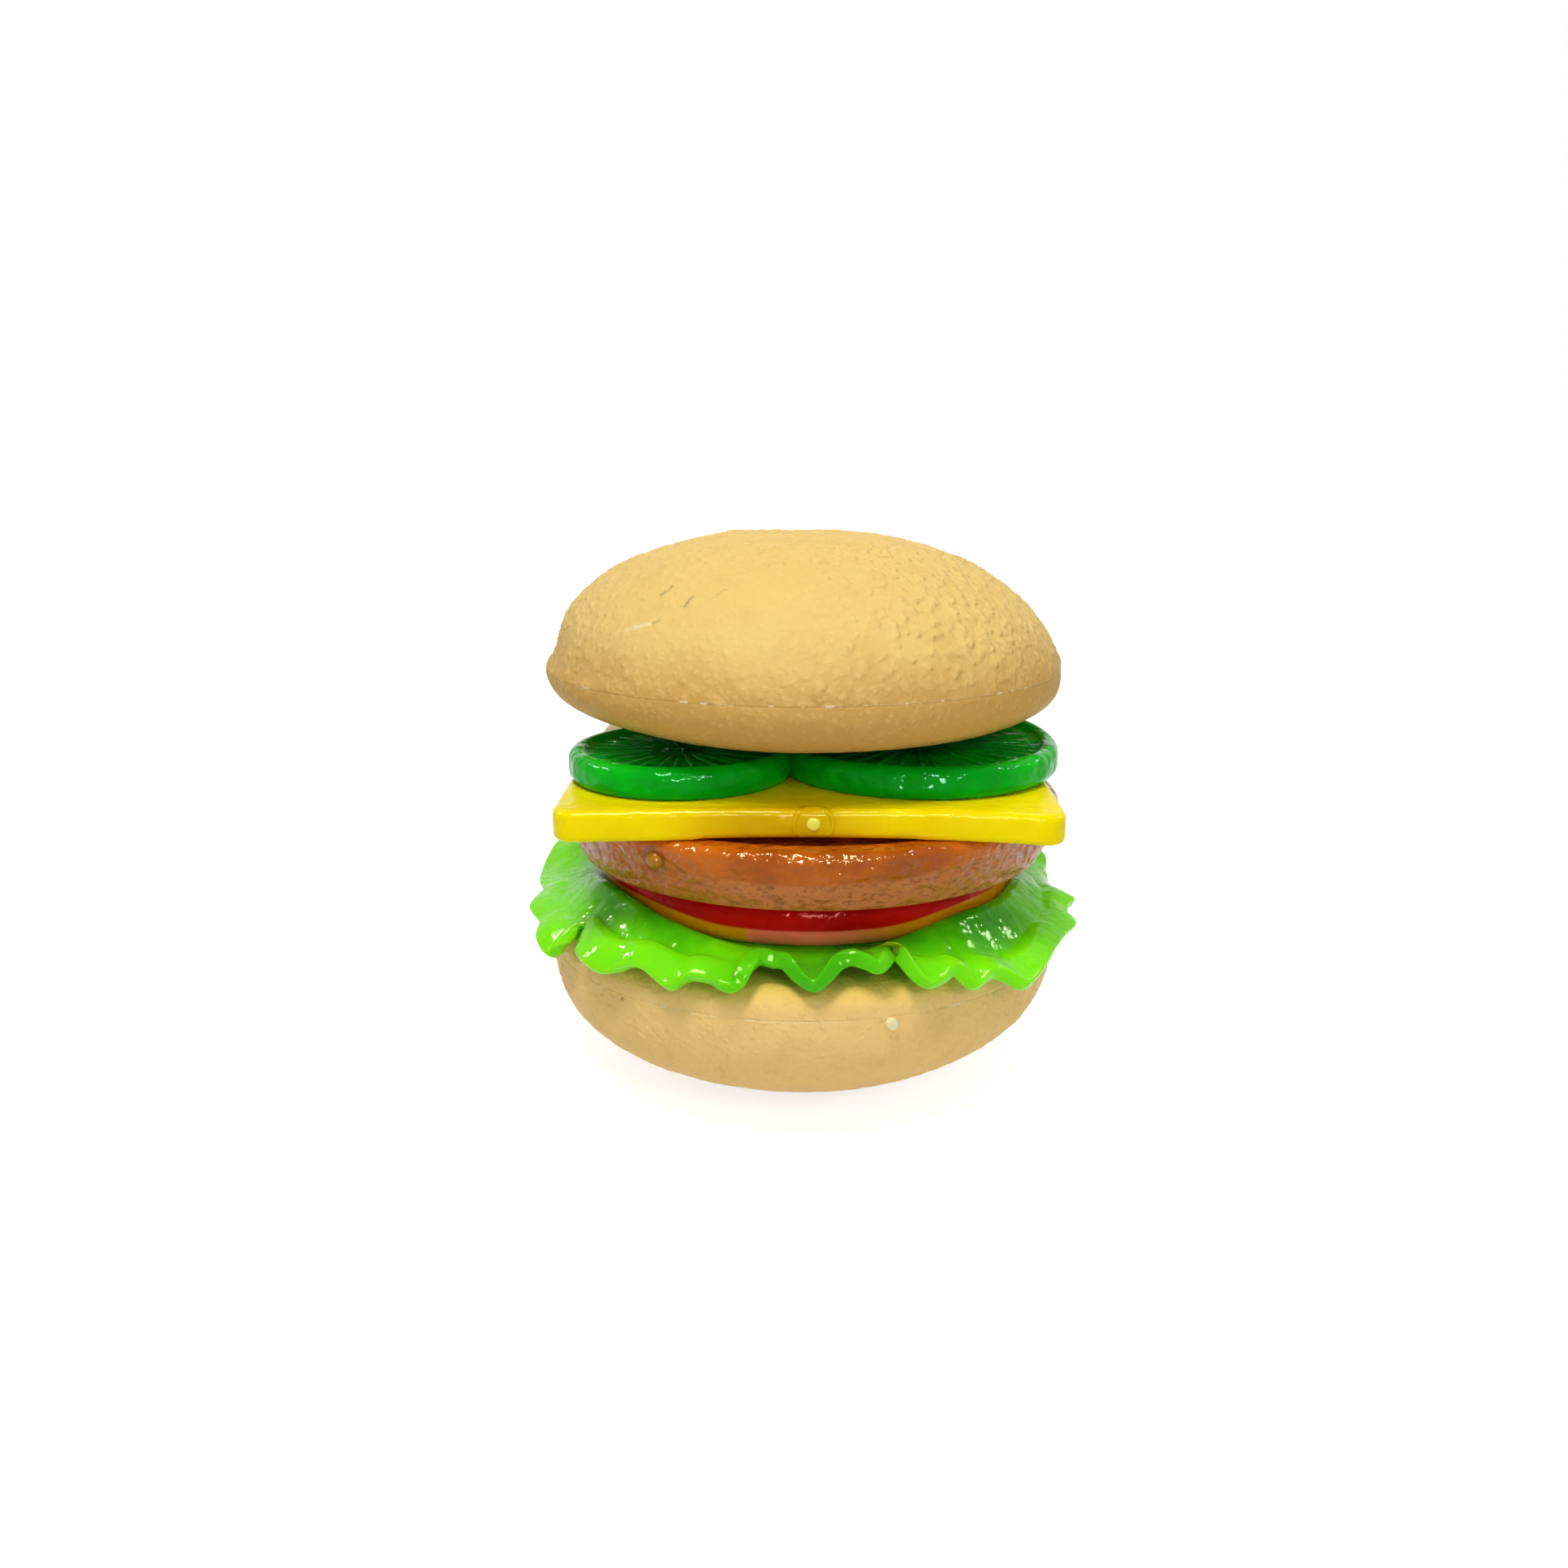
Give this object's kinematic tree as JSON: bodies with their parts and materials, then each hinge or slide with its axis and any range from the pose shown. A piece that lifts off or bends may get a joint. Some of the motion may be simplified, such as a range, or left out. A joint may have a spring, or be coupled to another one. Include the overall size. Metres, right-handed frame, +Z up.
{
  "type": "toy hamburger",
  "caption": "Play-food hamburger of loose moulded layers: hollow bun halves, ruffled lettuce, tomato, patty, cheese and cucumber that stack and lift apart.",
  "frame": {"origin": "middle of the bottom bun's flat resting face, on the table", "axes": "+Z up through the stack, -Y towards the front where the moulding gates are, +X to the right"},
  "size_m": [0.083, 0.0831, 0.0809],
  "materials": {
    "bun": "satin, pebbled like bread crust",
    "lettuce": "glossy, slightly translucent soft plastic",
    "tomato": "glossy, slightly translucent",
    "patty": "glossy with a rough meat grain, slightly translucent",
    "cheese": "smooth gloss",
    "cucumber": "glossy, slightly translucent"
  },
  "bodies": {
    "bottom_bun": {"bottom_bun_bowl": "bun", "bottom_bun_lid": "bun"},
    "lettuce": {"lettuce_leaf": "lettuce"},
    "tomato": {"tomato_slice": "tomato"},
    "patty": {"meat_patty": "patty"},
    "cheese": {"cheese_slice": "cheese"},
    "cucumber": {"cucumber_slices": "cucumber"},
    "top_bun": {"top_bun_base": "bun", "top_bun_crown": "bun"}
  },
  "joints": [
    {"name": "lettuce_lift", "type": "slide", "parent": "bottom_bun", "child": "lettuce", "axis": [0, 0, 1], "range_m": [0, 0.04]},
    {"name": "tomato_lift", "type": "slide", "parent": "lettuce", "child": "tomato", "axis": [0, 0, 1], "range_m": [0, 0.04]},
    {"name": "patty_lift", "type": "slide", "parent": "tomato", "child": "patty", "axis": [0, 0, 1], "range_m": [0, 0.04]},
    {"name": "cheese_lift", "type": "slide", "parent": "patty", "child": "cheese", "axis": [0, 0, 1], "range_m": [0, 0.04]},
    {"name": "cucumber_lift", "type": "slide", "parent": "cheese", "child": "cucumber", "axis": [0, 0, 1], "range_m": [0, 0.04]},
    {"name": "top_bun_lift", "type": "slide", "parent": "cucumber", "child": "top_bun", "axis": [0, 0, 1], "range_m": [0, 0.04]}
  ]
}
